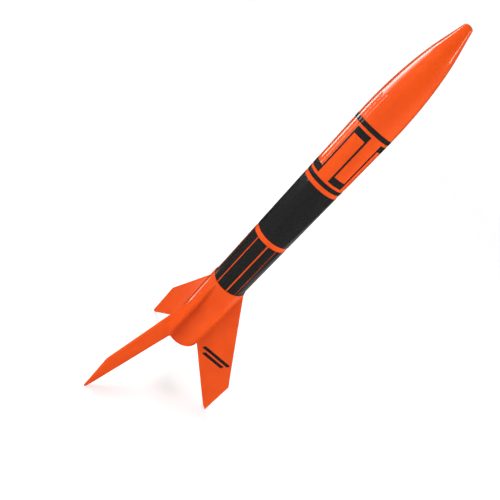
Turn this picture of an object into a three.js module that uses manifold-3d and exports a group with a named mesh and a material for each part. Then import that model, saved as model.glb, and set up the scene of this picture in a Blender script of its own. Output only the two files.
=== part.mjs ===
// A beginner's model rocket with parachute recovery, standing on its fin tips.
// Millimetres, +Z towards the nose. The tube's axis is the Z axis, and z = 0 is the plane
// of the three fin feet. One fin points along -Y; the engine hook and the launch lug are
// on the opposite side.
import * as THREE from 'three';
import { mergeVertices } from 'three/addons/utils/BufferGeometryUtils.js';
import Module from 'manifold-3d';

const wasm = await Module();
wasm.setup();

// ---- driving dimensions ----
const FACETS = 36; // flats round every round piece, so that nested pieces stay parallel
const FIT = 0.05; // radial or end gap of glued and seated pieces
const SLIDE = 0.15; // radial gap of pieces that pull out by hand

const TUBE_R = 12.4;
const TUBE_WALL = 0.35;
const TUBE_TOP = 245.7;

const NOSE_HEIGHT = 65.6;
const NOSE_WALL = 1.1;
const NOSE_CURVE_HEIGHT = 66.2; // height at which the ogive formula would come to a point
const NOSE_CURVE_POWER = 0.7;
const NOSE_TAPER_START = 53.5; // above this height the side runs straight, at the curve's slope there
const NOSE_TIP_START = 64.2; // height above the base where the round tip starts
const SHOULDER_LENGTH = 20;

const SLEEVE_R = 13.2;
const SLEEVE_TOP = 107.2;
const SLEEVE_BOTTOM = 46.8;
const LEDGE_HEIGHT = 2.2; // inward ledge that the body tube stands on
const LEDGE_R = 11.2;

const FIN_COUNT = 3;
const FIN_THICKNESS = 1.5;
const FIN_FOOT = 1.8;
const FIN_TIP_R = 55.4;
const FIN_TIP_TOP = 32.9;
const FIN_TIP_TOP_R = 55.1;
const FIN_ROOT_TOP = 105.6;
const NEAR_FIN_ANGLE = -90;

const ENGINE_R = 8.8;
const ENGINE_BORE_R = 6.5;
const ENGINE_LENGTH = 70;
const ENGINE_REAR = 43;

const MOUNT_TUBE_R = 9.35;
const MOUNT_TUBE_WALL = 0.35;
const MOUNT_TUBE_LENGTH = 70;

const HOOK_WIDTH = 3.2;
const HOOK_THICKNESS = 0.5;

const DECAL_THICKNESS = 0.1;
const DECAL_GAP = 0.04;

// ---- derived dimensions ----
const tubeInner = TUBE_R - TUBE_WALL;
const noseBase = TUBE_TOP + FIT;
const decalInner = TUBE_R + DECAL_GAP;
const decalOuter = decalInner + DECAL_THICKNESS;
const sleeveInner = decalOuter + 0.08;
const ledgeTop = SLEEVE_BOTTOM + LEDGE_HEIGHT;
const tubeBottom = ledgeTop + FIT;
const mountInner = MOUNT_TUBE_R - MOUNT_TUBE_WALL;
const mountRear = 49.6;
const mountFront = mountRear + MOUNT_TUBE_LENGTH;
const engineFront = ENGINE_REAR + ENGINE_LENGTH;
const shoulderBottom = noseBase - SHOULDER_LENGTH;
const shoulderR = tubeInner - SLIDE;
const shoulderInner = shoulderR - NOSE_WALL;

// ---- geometry helpers ----
const rad = THREE.MathUtils.degToRad;

// Merges shared vertices, drops collapsed triangles and turns the faces outwards.
function closed(geometry) {
  const bare = geometry.clone();
  bare.deleteAttribute('normal');
  bare.deleteAttribute('uv');
  const merged = mergeVertices(bare, 1e-3);
  const p = merged.getAttribute('position');
  const index = merged.getIndex().array;
  const kept = [];
  let volume = 0;
  const [a, b, c] = [new THREE.Vector3(), new THREE.Vector3(), new THREE.Vector3()];
  for (let i = 0; i < index.length; i += 3) {
    const [u, v, w] = [index[i], index[i + 1], index[i + 2]];
    if (u === v || v === w || w === u) continue;
    kept.push(u, v, w);
    a.fromBufferAttribute(p, u);
    b.fromBufferAttribute(p, v);
    c.fromBufferAttribute(p, w);
    volume += a.dot(b.cross(c));
  }
  if (volume < 0) kept.reverse();
  merged.setIndex(kept);
  return merged;
}

function toManifold(geometry) {
  const g = closed(geometry);
  const vertProperties = new Float32Array(g.getAttribute('position').array);
  const triVerts = new Uint32Array(g.getIndex().array);
  return new wasm.Manifold(new wasm.Mesh({ numProp: 3, vertProperties, triVerts }));
}

function fromManifold(manifold) {
  const mesh = manifold.getMesh();
  const g = new THREE.BufferGeometry();
  g.setAttribute('position', new THREE.BufferAttribute(new Float32Array(mesh.vertProperties), 3));
  g.setIndex([...mesh.triVerts]);
  return closed(g);
}

function join(...geometries) {
  const [first, ...rest] = geometries.map(toManifold);
  return fromManifold(rest.reduce((sum, m) => sum.add(m), first));
}

function cut(geometry, ...tools) {
  return fromManifold(tools.map(toManifold).reduce((left, m) => left.subtract(m), toManifold(geometry)));
}

function overlap(geometry, tool) {
  return fromManifold(toManifold(geometry).intersect(toManifold(tool)));
}

// Turns an outline of [radius, z] points round the Z axis.
function lathe(points, facets = FACETS) {
  const outline = points.map(([r, z]) => new THREE.Vector2(r, z));
  const g = new THREE.LatheGeometry(outline, facets);
  g.rotateX(Math.PI / 2);
  return closed(g);
}

function ring(outer, inner, low, high, facets = FACETS) {
  return lathe([[inner, low], [outer, low], [outer, high], [inner, high], [inner, low]], facets);
}

function disc(r, low, high, facets = FACETS) {
  return lathe([[0, low], [r, low], [r, high], [0, high]], facets);
}

function box(x0, x1, y0, y1, z0, z1) {
  const g = new THREE.BoxGeometry(x1 - x0, y1 - y0, z1 - z0);
  g.translate((x0 + x1) / 2, (y0 + y1) / 2, (z0 + z1) / 2);
  return g;
}

// A straight-sided slice of the space round the axis, between two angles in degrees.
function wedge(from, to, low, high) {
  const [near, far] = [TUBE_R / 3, TUBE_R * 2.5];
  const at = (r, angle) => new THREE.Vector2(r * Math.cos(rad(angle)), r * Math.sin(rad(angle)));
  const shape = new THREE.Shape([at(near, from), at(far, from), at(far, to), at(near, to)]);
  const g = new THREE.ExtrudeGeometry(shape, { depth: high - low, bevelEnabled: false });
  g.translate(0, 0, low);
  return g;
}

// An outline in the plane of the axis, [y, z], given a thickness along X.
function plate(points, thickness, angle = 90) {
  const shape = new THREE.Shape(points.map(([y, z]) => new THREE.Vector2(y, z)));
  const g = new THREE.ExtrudeGeometry(shape, { depth: thickness, bevelEnabled: false });
  g.translate(0, 0, -thickness / 2);
  g.rotateX(Math.PI / 2);
  g.rotateZ(rad(angle));
  return g;
}

// A flat strip that follows a planar path: the path's points offset to both sides.
function stripOutline(path, thickness) {
  const left = [];
  const right = [];
  path.forEach((point, i) => {
    const before = path[Math.max(i - 1, 0)];
    const after = path[Math.min(i + 1, path.length - 1)];
    const along = new THREE.Vector2(after[0] - before[0], after[1] - before[1]).normalize();
    const [ox, oy] = [(-along.y * thickness) / 2, (along.x * thickness) / 2];
    left.push([point[0] + ox, point[1] + oy]);
    right.unshift([point[0] - ox, point[1] - oy]);
  });
  return [...left, ...right];
}

// ---- materials ----
function finish(color, roughness, metalness = 0) {
  return { color, roughness, metalness };
}

const finishes = {
  orangePlastic: finish(0xf35621, 0.28),
  orangePaper: finish(0xf35a24, 0.4),
  blackVinyl: finish(0x29292b, 0.45),
  kraft: finish(0xb08a5e, 0.85),
  engineCase: finish(0xa8794b, 0.8),
  clay: finish(0xc9c3b6, 0.9),
  powder: finish(0x242322, 0.95),
  delay: finish(0x5b5954, 0.95),
  springSteel: finish(0x8f9296, 0.3, 1),
  greenPaper: finish(0x4a7d57, 0.8),
  whitePaper: finish(0xe9e6de, 0.9),
  elastic: finish(0xe8e4da, 0.85),
  film: finish(0xf2702c, 0.35),
  thread: finish(0xf1efe9, 0.8),
  wadding: finish(0xdcd6c4, 0.95),
};

const rocket = new THREE.Group();

function add(name, geometry, look, parent = rocket) {
  const mesh = new THREE.Mesh(geometry, new THREE.MeshStandardMaterial(look));
  mesh.name = name;
  parent.add(mesh);
  return mesh;
}

// ---- nose ----
function noseCurve(height) {
  return TUBE_R * (1 - (height / NOSE_CURVE_HEIGHT) ** 2) ** NOSE_CURVE_POWER;
}

function noseRadius(height) {
  const taper = Math.max(height - NOSE_TAPER_START, 0);
  const slope = noseCurve(NOSE_TAPER_START - 0.5) - noseCurve(NOSE_TAPER_START + 0.5);
  return noseCurve(Math.min(height, NOSE_TAPER_START)) - slope * taper;
}

function noseOutline() {
  const steps = 14;
  const outside = [];
  for (let i = 0; i <= steps; i += 1) {
    const height = NOSE_TIP_START * Math.sin((i / steps) * (Math.PI / 2));
    outside.push([noseRadius(height), noseBase + height]);
  }
  const tipSteps = 4;
  const tipRadius = noseRadius(NOSE_TIP_START);
  const tipHeight = NOSE_HEIGHT - NOSE_TIP_START;
  for (let i = 1; i < tipSteps; i += 1) {
    const turn = (i / tipSteps) * (Math.PI / 2);
    const z = noseBase + NOSE_TIP_START + tipHeight * Math.sin(turn);
    outside.push([tipRadius * Math.cos(turn), z]);
  }
  outside.push([0, noseBase + NOSE_HEIGHT]);
  return outside;
}

function noseHollow() {
  const steps = 8;
  const hollowHeight = 56;
  const inside = [[0, noseBase + hollowHeight]];
  for (let i = steps - 1; i >= 0; i -= 1) {
    const height = (hollowHeight * i) / steps;
    inside.push([Math.min(noseRadius(height) - NOSE_WALL * 1.3, shoulderInner), noseBase + height]);
  }
  return inside;
}

function noseCone() {
  return lathe([
    ...noseHollow(),
    [shoulderInner, shoulderBottom],
    [shoulderR - 0.4, shoulderBottom],
    [shoulderR, shoulderBottom + 1],
    [shoulderR, noseBase],
    ...noseOutline(),
  ]);
}

const EYELET_R = 3;
const EYELET_WIRE_R = 0.8;
const plugFlangeBottom = shoulderBottom - 1.3;
const eyeletZ = plugFlangeBottom - 2.6;

function nosePlug() {
  const plugR = shoulderInner - FIT;
  const body = lathe([
    [0, plugFlangeBottom],
    [shoulderR, plugFlangeBottom],
    [shoulderR, shoulderBottom - FIT],
    [plugR, shoulderBottom - FIT],
    [plugR, shoulderBottom + 3],
    [0, shoulderBottom + 3],
  ]);
  const eyelet = new THREE.TorusGeometry(EYELET_R, EYELET_WIRE_R, 8, 24);
  eyelet.rotateY(Math.PI / 2);
  eyelet.translate(0, 0, eyeletZ);
  return join(body, eyelet);
}

// ---- airframe ----
function finUnit() {
  const chamfer = 0.5;
  const sleeve = lathe([
    [LEDGE_R, SLEEVE_BOTTOM],
    [SLEEVE_R, SLEEVE_BOTTOM],
    [SLEEVE_R, SLEEVE_TOP - chamfer],
    [SLEEVE_R - chamfer / 2, SLEEVE_TOP],
    [sleeveInner, SLEEVE_TOP],
    [sleeveInner, ledgeTop],
    [LEDGE_R, ledgeTop],
    [LEDGE_R, SLEEVE_BOTTOM],
  ]);
  const notchHalf = HOOK_WIDTH / 2 + 0.8;
  const notch = box(-notchHalf, notchHalf, 0, sleeveInner - FIT, SLEEVE_BOTTOM - 1, ledgeTop + 1);
  const rootR = (SLEEVE_R + sleeveInner) / 2;
  const outline = [
    [rootR, SLEEVE_BOTTOM],
    [SLEEVE_R, SLEEVE_BOTTOM],
    [FIN_TIP_R - FIN_FOOT, 0],
    [FIN_TIP_R, 0],
    [FIN_TIP_TOP_R, FIN_TIP_TOP],
    [SLEEVE_R, FIN_ROOT_TOP],
    [rootR, FIN_ROOT_TOP],
  ];
  const fins = [];
  for (let i = 0; i < FIN_COUNT; i += 1) {
    fins.push(plate(outline, FIN_THICKNESS, NEAR_FIN_ANGLE + (i * 360) / FIN_COUNT));
  }
  return join(cut(sleeve, notch), ...fins);
}

const LUG_R = 2.3;
const LUG_BORE_R = 1.95;
const LUG_ANGLE = 105;
const LUG_Z = [112, 162];

function launchLug() {
  const g = ring(LUG_R, LUG_BORE_R, LUG_Z[0], LUG_Z[1], 16);
  const r = decalOuter + LUG_R + FIT;
  g.translate(r * Math.cos(rad(LUG_ANGLE)), r * Math.sin(rad(LUG_ANGLE)), 0);
  return g;
}

// ---- decals: thin black shells cut from a ring that lies on the tube ----
const TOP_RING = [243.05, TUBE_TOP];
const KEY_PATTERN = [207.9, 241.4];
const KEY_BAR_TOP = 4;
const KEY_BAR_BOTTOM = 4.3;
const KEY_LINES = 8;
const KEY_PITCH = 42.2; // degrees; the last gap, on the hook's side, takes what is left
const KEY_FIRST = -97.1;
const KEY_LINE_WIDTH = 5;
const THIN_RING = [203.4, 206.1];
const WIDE_BAND = [155.6, 200.5];
const PANEL_ZONE = [107.3, 151.9];
const PANEL_ROOT = 1.6; // the strip under the sleeve's rim that joins the panels
const PANEL_GAPS = [ // [centre, width] in degrees of the gaps between the panels
  [-133.7, 4],
  [-93.5, 3.6],
  [-53.3, 4.7],
  [-21.8, 2.4],
  [25.3, 4],
  [65.5, 4],
  [105.7, 4],
  [145.9, 4],
  [186.1, 4],
];

function decalRing([low, high]) {
  return ring(decalOuter, decalInner, low, high);
}

// A square wave round the tube: upright lines joined in turn along the top and the bottom.
function keyPattern() {
  const [low, high] = KEY_PATTERN;
  const half = KEY_LINE_WIDTH / 2;
  const pieces = [];
  for (let i = 0; i < KEY_LINES; i += 1) {
    const here = KEY_FIRST + i * KEY_PITCH;
    const next = i === KEY_LINES - 1 ? KEY_FIRST + 360 : here + KEY_PITCH;
    pieces.push(wedge(here - half, here + half, low, high));
    const onTop = i % 2 === 0;
    const bar = onTop ? [high - KEY_BAR_TOP, high] : [low, low + KEY_BAR_BOTTOM];
    pieces.push(wedge(here - half + 0.5, next + half - 0.5, ...bar));
  }
  return overlap(decalRing(KEY_PATTERN), join(...pieces));
}

function panelWrap() {
  const low = PANEL_ZONE[0] - PANEL_ROOT;
  const wrap = decalRing([low, PANEL_ZONE[1]]);
  const gaps = PANEL_GAPS.map(([centre, width]) => {
    const [from, to] = [centre - width / 2, centre + width / 2];
    return wedge(from, to, PANEL_ZONE[0] - 0.3, PANEL_ZONE[1] + 1);
  });
  return cut(wrap, ...gaps);
}

// Two plain bars with slanted ends, on one face of the right-hand fin.
const FIN_MARK_THICKNESS = 0.1;
const FIN_MARK_GAP = 0.05;
const FIN_MARK_ANGLE = 30;
const FIN_BAR_HEIGHT = 2.8;
const FIN_BAR_UPPER = { from: 18.5, to: 42.5, z: 47.2 };
const FIN_BAR_LOWER = { from: 21.5, to: 39.5, z: 42.6 };

function finMark({ from, to, z }) {
  const outline = [
    [from, z],
    [to, z],
    [to + FIN_BAR_HEIGHT / 2, z + FIN_BAR_HEIGHT],
    [from + FIN_BAR_HEIGHT / 2, z + FIN_BAR_HEIGHT],
  ];
  const g = plate(outline, FIN_MARK_THICKNESS, 0);
  g.translate(0, -(FIN_THICKNESS + FIN_MARK_THICKNESS) / 2 - FIN_MARK_GAP, 0);
  g.rotateZ(rad(FIN_MARK_ANGLE));
  return closed(g);
}

// ---- engine mount, glued inside the tail of the body tube ----
const RING_HEIGHT = 4.4;
const frontRingZ = mountFront - 0.5 - RING_HEIGHT;
const rearRingZ = tubeBottom + 1;
const HOOK_FRONT = engineFront + 0.9;
const HOOK_Y = MOUNT_TUBE_R + FIT + HOOK_THICKNESS / 2; // middle of the strip's thickness
const HOOK_REACH = 7.6; // how near the axis the end tabs come

function centeringRing(low) {
  return ring(tubeInner - FIT, MOUNT_TUBE_R + FIT, low, low + RING_HEIGHT);
}

function hookSlot(halfWidth, yHigh, low, high) {
  return box(-halfWidth, halfWidth, MOUNT_TUBE_R - 1.5, yHigh, low, high);
}

function engineTube() {
  const tube = ring(MOUNT_TUBE_R, mountInner, mountRear, mountFront);
  return cut(tube, hookSlot(HOOK_WIDTH / 2 + 0.4, 12, HOOK_FRONT - 0.8, HOOK_FRONT + 0.6));
}

function rearRing() {
  return cut(centeringRing(rearRingZ), hookSlot(HOOK_WIDTH / 2 + 0.6, 20, rearRingZ - 1, rearRingZ + 10));
}

const BAND_Z = [103, 109];

function retainerBand() {
  const half = HOOK_WIDTH / 2;
  const band = ring(MOUNT_TUBE_R + 0.35, MOUNT_TUBE_R + FIT, ...BAND_Z);
  const hump = box(-half - 0.9, half + 0.9, MOUNT_TUBE_R - 0.6, MOUNT_TUBE_R + 1.5, ...BAND_Z);
  const outside = join(band, hump);
  const bore = disc(MOUNT_TUBE_R + FIT, BAND_Z[0] - 1, BAND_Z[1] + 1);
  return cut(outside, bore, hookSlot(half + 0.5, MOUNT_TUBE_R + 1.15, BAND_Z[0] - 1, BAND_Z[1] + 1));
}

function engineHook() {
  const half = HOOK_THICKNESS / 2;
  const rearTab = ENGINE_REAR - 0.35 - half;
  const path = [
    [HOOK_REACH, HOOK_FRONT - half],
    [HOOK_Y - 0.3, HOOK_FRONT - half],
    [HOOK_Y, HOOK_FRONT - half - 0.3],
    [HOOK_Y, rearTab + 0.5],
    [HOOK_Y - 0.5, rearTab],
    [HOOK_REACH + 0.6, rearTab],
    [HOOK_REACH + 0.2, rearTab - 0.5],
    [HOOK_REACH + 1.6, rearTab - 4],
  ];
  return plate(stripOutline(path, HOOK_THICKNESS), HOOK_WIDTH, 90);
}

// ---- engine: a paper case with pressed charges ----
const NOZZLE_TOP = ENGINE_REAR + 7;
const PROPELLANT_TOP = NOZZLE_TOP + 31;
const DELAY_TOP = PROPELLANT_TOP + 10;
const EJECTION_TOP = DELAY_TOP + 5;
const CAP_TOP = EJECTION_TOP + 3;
const chargeR = ENGINE_BORE_R - FIT;

function nozzle() {
  const low = ENGINE_REAR + 0.6;
  return lathe([
    [3.4, low],
    [chargeR, low],
    [chargeR, NOZZLE_TOP],
    [1.5, NOZZLE_TOP],
    [1.5, low + 3.2],
    [3.4, low],
  ]);
}

function charge(low, high) {
  return disc(chargeR, low + FIT, high);
}

// ---- recovery gear ----
const MOUNT_PAD_Z = [196, 214];
const MOUNT_PAD_THICKNESS = 0.6;
const CORD_WIDTH = 3.2;
const CORD_THICKNESS = 0.9;
const CORD_FOLDS = 13; // an odd number, so that the cord leaves the folds opposite the pad
const CORD_PITCH = 1.6;
const CORD_LOW = 145;
const CORD_REACH = 7.6;
const BUNDLE_R = 9.6;
const BUNDLE_Z = [169, 215];
const padInner = tubeInner - FIT - MOUNT_PAD_THICKNESS;

function cordMount() {
  const pad = ring(tubeInner - FIT, padInner, ...MOUNT_PAD_Z);
  return overlap(pad, wedge(-27, 27, ...MOUNT_PAD_Z));
}

// Flat elastic: down from the pad, up through the folds, up the far wall, and through the eyelet.
function cordPath() {
  const turnR = CORD_PITCH / 2;
  const wallX = padInner - 0.15 - CORD_THICKNESS / 2;
  const path = [
    [wallX, MOUNT_PAD_Z[0] + 14],
    [wallX, CORD_LOW + 2.4],
    [wallX - 0.8, CORD_LOW + 0.7],
    [wallX - 2.4, CORD_LOW],
  ];
  const turnSteps = 4;
  for (let i = 0; i < CORD_FOLDS; i += 1) {
    const side = i % 2 === 0 ? -1 : 1;
    const z = CORD_LOW + i * CORD_PITCH;
    for (let k = 0; k <= turnSteps; k += 1) {
      const turn = (k / turnSteps) * Math.PI;
      path.push([side * (CORD_REACH + turnR * Math.sin(turn)), z + turnR * (1 - Math.cos(turn))]);
    }
  }
  path.pop();
  path.pop();
  path.pop();
  const top = CORD_LOW + (CORD_FOLDS - 1) * CORD_PITCH;
  const through = eyeletZ - 0.9;
  path.push([-wallX + 0.8, top + 0.9], [-wallX, top + 2.6], [-wallX, through - 3]);
  path.push([-wallX + 0.9, through - 0.9], [-wallX + 2.8, through], [3.6, through]);
  return path;
}

function shockCord() {
  return plate(stripOutline(cordPath(), CORD_THICKNESS), CORD_WIDTH, 0);
}

function canopyBundle() {
  const [low, high] = BUNDLE_Z;
  return lathe([
    [0, low],
    [BUNDLE_R - 2.5, low + 0.5],
    [BUNDLE_R, low + 4],
    [BUNDLE_R, high - 4],
    [BUNDLE_R - 2.5, high - 0.5],
    [0, high],
  ], 18);
}

function shroudWinding() {
  return ring(BUNDLE_R + 0.6, BUNDLE_R + 0.1, 184, 200);
}

const WADDING_LOW = mountFront + 1.4;
const WADDING_HEIGHT = 6.6;

function waddingSheet(n) {
  const low = WADDING_LOW + n * (WADDING_HEIGHT + 0.4);
  const high = low + WADDING_HEIGHT;
  const rim = 10.6 - 0.4 * (n % 2);
  return lathe([[0, low], [rim - 2, low + 0.4], [rim, low + 2.4], [rim - 0.6, high - 1.5], [0, high]], 14);
}

// ---- assembly ----
add('nose_cone', noseCone(), finishes.orangePlastic);
add('nose_base_plug', nosePlug(), finishes.orangePlastic);

add('body_tube', ring(TUBE_R, tubeInner, tubeBottom, TUBE_TOP), finishes.orangePaper);
add('fin_unit', finUnit(), finishes.orangePlastic);
add('launch_lug', launchLug(), finishes.orangePaper);

add('decal_top_ring', decalRing(TOP_RING), finishes.blackVinyl);
add('decal_key_pattern', keyPattern(), finishes.blackVinyl);
add('decal_thin_ring', decalRing(THIN_RING), finishes.blackVinyl);
add('decal_wide_band', decalRing(WIDE_BAND), finishes.blackVinyl);
add('decal_panels', panelWrap(), finishes.blackVinyl);
add('decal_fin_upper', finMark(FIN_BAR_UPPER), finishes.blackVinyl);
add('decal_fin_lower', finMark(FIN_BAR_LOWER), finishes.blackVinyl);

add('engine_tube', engineTube(), finishes.kraft);
add('centering_ring_front', centeringRing(frontRingZ), finishes.whitePaper);
add('centering_ring_rear', rearRing(), finishes.whitePaper);
const thrustRing = ring(mountInner - FIT, 7.9, HOOK_FRONT + 0.8, mountFront - 0.4);
add('thrust_ring', thrustRing, finishes.greenPaper);
add('hook_retainer_band', retainerBand(), finishes.kraft);
add('engine_hook', engineHook(), finishes.springSteel);

add('engine_case', ring(ENGINE_R, ENGINE_BORE_R, ENGINE_REAR, engineFront), finishes.engineCase);
add('engine_nozzle', nozzle(), finishes.clay);
add('propellant_grain', charge(NOZZLE_TOP, PROPELLANT_TOP), finishes.powder);
add('delay_charge', charge(PROPELLANT_TOP, DELAY_TOP), finishes.delay);
add('ejection_charge', charge(DELAY_TOP, EJECTION_TOP), finishes.powder);
add('engine_cap', charge(EJECTION_TOP, CAP_TOP), finishes.clay);

add('shock_cord_mount', cordMount(), finishes.whitePaper);
add('shock_cord', shockCord(), finishes.elastic);
add('parachute_canopy', canopyBundle(), finishes.film);
add('shroud_lines', shroudWinding(), finishes.thread);
for (let n = 0; n < 3; n += 1) {
  add(`wadding_sheet_${n + 1}`, waddingSheet(n), finishes.wadding);
}

export default rocket;
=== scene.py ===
import math

import bmesh
import bpy
import numpy as np
from mathutils import Matrix, Vector, noise


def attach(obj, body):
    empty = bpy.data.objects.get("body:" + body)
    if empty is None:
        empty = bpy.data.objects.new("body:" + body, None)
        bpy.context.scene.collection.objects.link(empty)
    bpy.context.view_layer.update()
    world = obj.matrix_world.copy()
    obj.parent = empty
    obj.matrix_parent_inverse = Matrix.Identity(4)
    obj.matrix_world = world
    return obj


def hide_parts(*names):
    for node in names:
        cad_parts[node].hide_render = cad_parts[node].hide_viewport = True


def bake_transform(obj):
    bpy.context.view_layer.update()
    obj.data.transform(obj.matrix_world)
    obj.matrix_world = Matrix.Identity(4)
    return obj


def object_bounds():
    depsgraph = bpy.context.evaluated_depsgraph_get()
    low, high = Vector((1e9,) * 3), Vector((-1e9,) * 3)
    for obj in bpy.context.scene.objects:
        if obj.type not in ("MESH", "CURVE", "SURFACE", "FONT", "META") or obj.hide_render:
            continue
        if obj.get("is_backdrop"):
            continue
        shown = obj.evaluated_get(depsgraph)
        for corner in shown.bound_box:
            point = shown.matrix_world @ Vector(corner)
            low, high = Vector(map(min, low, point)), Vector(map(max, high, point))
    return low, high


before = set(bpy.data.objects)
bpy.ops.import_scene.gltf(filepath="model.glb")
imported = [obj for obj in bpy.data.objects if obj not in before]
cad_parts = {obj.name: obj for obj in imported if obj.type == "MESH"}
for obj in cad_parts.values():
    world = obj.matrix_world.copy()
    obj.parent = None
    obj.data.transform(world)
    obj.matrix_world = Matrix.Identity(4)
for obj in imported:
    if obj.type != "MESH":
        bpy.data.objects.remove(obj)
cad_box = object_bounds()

# A beginner's model rocket. Lengths in the lists below are millimetres, turned to metres by MM.
MM = 0.001
SMOOTH_ANGLE = math.radians(32)
ROUND = 128  # segments round a large round piece
AIRFRAME, NOSE, HOOK = "airframe", "nose", "hook"

noise.seed_set(7)  # noise_vector otherwise starts from the clock and differs from run to run


# ---------------------------------------------------------------- the frame, read as sizes
def span(node):
    """Least and greatest distance from the Z axis, lowest and highest z of a CAD node, in mm."""
    co = np.array([v.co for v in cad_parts[node].data.vertices], float) / MM
    r = np.hypot(co[:, 0], co[:, 1])
    return float(r.min()), float(r.max()), float(co[:, 2].min()), float(co[:, 2].max())


TUBE_IN, TUBE_R, TUBE_LOW, TUBE_TOP = span("body_tube")
_, _, NOSE_LOW, NOSE_TIP = span("nose_cone")
_, _, FOOT_Z, SLEEVE_TOP = span("fin_unit")
_, DECAL_OUT, _, _ = span("decal_panels")
CASE_IN, CASE_R, CASE_LOW, CASE_TOP = span("engine_case")

NOSE_BASE = TUBE_TOP + 0.05


# ---------------------------------------------------------------- mesh helpers
def new_object(name, verts, faces, materials, indices=None, smooth=True):
    mesh = bpy.data.meshes.new(name)
    mesh.from_pydata([[c * MM for c in v] for v in verts], [], faces)
    for m in materials:
        mesh.materials.append(m)
    if indices is not None:
        mesh.polygons.foreach_set("material_index", indices)
    mesh.validate()
    bm = bmesh.new()
    bm.from_mesh(mesh)
    bmesh.ops.recalc_face_normals(bm, faces=bm.faces)
    bm.to_mesh(mesh)
    bm.free()
    if smooth:
        mesh.shade_smooth()
        mesh.set_sharp_from_angle(angle=SMOOTH_ANGLE)
    obj = bpy.data.objects.new(name, mesh)
    bpy.context.scene.collection.objects.link(obj)
    return obj


def rounded(points, radius, steps=4, closed=True):
    """The outline again with each corner turned into an arc; radius is one number or one per corner."""
    n = len(points)
    radii = list(radius) if hasattr(radius, "__len__") else [radius] * n
    out = []
    for i in range(n):
        p = Vector(points[i])
        if radii[i] <= 0 or (not closed and i in (0, n - 1)):
            out.append(tuple(p))
            continue
        a, b = Vector(points[i - 1]) - p, Vector(points[(i + 1) % n]) - p
        angle = a.angle(b)
        if angle > math.radians(178):
            out.append(tuple(p))
            continue
        back = min(radii[i] / math.tan(angle / 2), 0.49 * a.length, 0.49 * b.length)
        r = back * math.tan(angle / 2)
        start, end = p + a.normalized() * back, p + b.normalized() * back
        centre = p + (a.normalized() + b.normalized()).normalized() * (r / math.sin(angle / 2))
        u, w = start - centre, end - centre
        turn = u.angle_signed(w)
        for k in range(steps + 1):
            t = -turn * k / steps
            q = Vector((u.x * math.cos(t) - u.y * math.sin(t), u.x * math.sin(t) + u.y * math.cos(t)))
            out.append(tuple(centre + q))
    return out


def even_angles(count=ROUND, extra=()):
    return sorted({round(360 * i / count, 6) for i in range(count)} | {round(a % 360, 6) for a in extra})


def lathe(name, outline, materials, angles=None, swell=None, pick=None, closed=True, centre=(0, 0)):
    """Turns an outline of (radius, z) points round the Z axis. swell(radius, z, angle) gives the radius
    at an angle, and pick(radius, z) the material of the face there."""
    angles = angles or even_angles()
    verts, index = [], []
    for r, z in outline:
        if r < 1e-6:
            index.append([len(verts)] * len(angles))
            verts.append((centre[0], centre[1], z))
            continue
        row = []
        for a in angles:
            rr = swell(r, z, a) if swell else r
            row.append(len(verts))
            t = math.radians(a)
            verts.append((centre[0] + rr * math.cos(t), centre[1] + rr * math.sin(t), z))
        index.append(row)
    faces, slots = [], []
    last = len(outline) if closed else len(outline) - 1
    for i in range(last):
        j = (i + 1) % len(outline)
        mid = ((outline[i][0] + outline[j][0]) / 2, (outline[i][1] + outline[j][1]) / 2)
        for k in range(len(angles)):
            m = (k + 1) % len(angles)
            loop = [index[i][k], index[i][m], index[j][m], index[j][k]]
            loop = [v for n, v in enumerate(loop) if v != loop[n - 1]]
            if len(loop) > 2:
                faces.append(loop)
                slots.append(pick(*mid) if pick else 0)
    return new_object(name, verts, faces, materials, slots)


def turned(along, across, z, t):
    """A point in the upright plane at angle t, as (x, y, z)."""
    return along * math.cos(t) - across * math.sin(t), along * math.sin(t) + across * math.cos(t), z


def apart(angle, other):
    """The angle between two directions, in degrees."""
    return abs((angle - other + 180) % 360 - 180)


def tube_faces(rows, n, closed=False):
    """Faces round rows of n points each, with a cap at both ends unless the tube closes on itself."""
    faces = []
    for i in range(rows if closed else rows - 1):
        a, b = i * n, (i + 1) % rows * n
        for k in range(n):
            m = (k + 1) % n
            faces.append([a + k, a + m, b + m, b + k])
    if not closed:
        faces += [list(range(n)), [(rows - 1) * n + k for k in range(n)]]
    return faces


def sheet_faces(rows, cols):
    """Faces of two grids of points, the second facing the other way."""
    other = rows * cols
    faces = []
    for i in range(rows - 1):
        for j in range(cols - 1):
            a = i * cols + j
            faces.append([a, a + 1, a + cols + 1, a + cols])
            faces.append([v + other for v in (a, a + cols, a + cols + 1, a + 1)])
    return faces


def ring_outline(inner, outer, low, high, edge):
    return rounded([(inner, low), (outer, low), (outer, high), (inner, high)], edge)


def place(obj, body, slot, *nodes):
    """A finished piece rides on its body and stands for its CAD nodes, which it hides. The slot argument is
    not used.
    """
    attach(obj, body)
    if nodes:
        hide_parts(*nodes)
    return obj


def joined(name, objects):
    """Several meshes as one object."""
    bpy.ops.object.select_all(action="DESELECT")
    for o in objects:
        o.select_set(True)
    bpy.context.view_layer.objects.active = objects[0]
    bpy.ops.object.join()
    objects[0].name = name
    objects[0].data.name = name
    return objects[0]


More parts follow.
